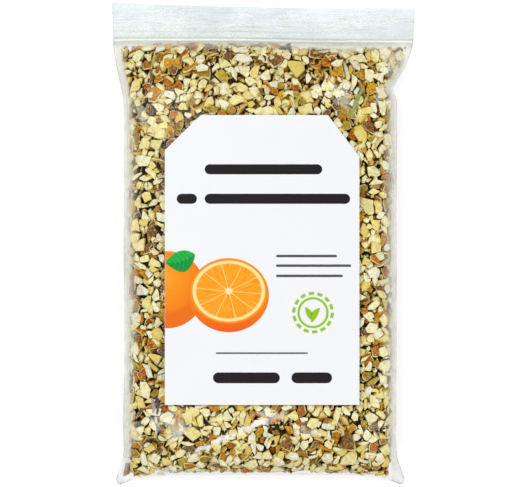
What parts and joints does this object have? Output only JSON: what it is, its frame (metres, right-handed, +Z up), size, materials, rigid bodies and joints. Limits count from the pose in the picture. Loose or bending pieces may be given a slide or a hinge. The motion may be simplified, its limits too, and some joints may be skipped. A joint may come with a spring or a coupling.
{
  "type": "bag of dried orange peel",
  "caption": "Clear heat-sealed film bag of cut dried orange peel with a paper label on its front, lying on its back.",
  "frame": {"origin": "centre of the base of the whole object's box, on the surface that the bag lies on", "axes": "+Z up, out of the bag's front and label; +Y along its length, towards the empty header; +X to the right as the label is read"},
  "size_m": [0.158, 0.2518, 0.0281],
  "materials": {
    "clear_film": "clear glossy film over cut dried peel, cream pith with orange-brown and olive skin",
    "label_paper": "matt white paper, printed with plain shapes"
  },
  "bodies": {
    "root": {"bag": "clear_film", "label": "label_paper"}
  },
  "joints": []
}
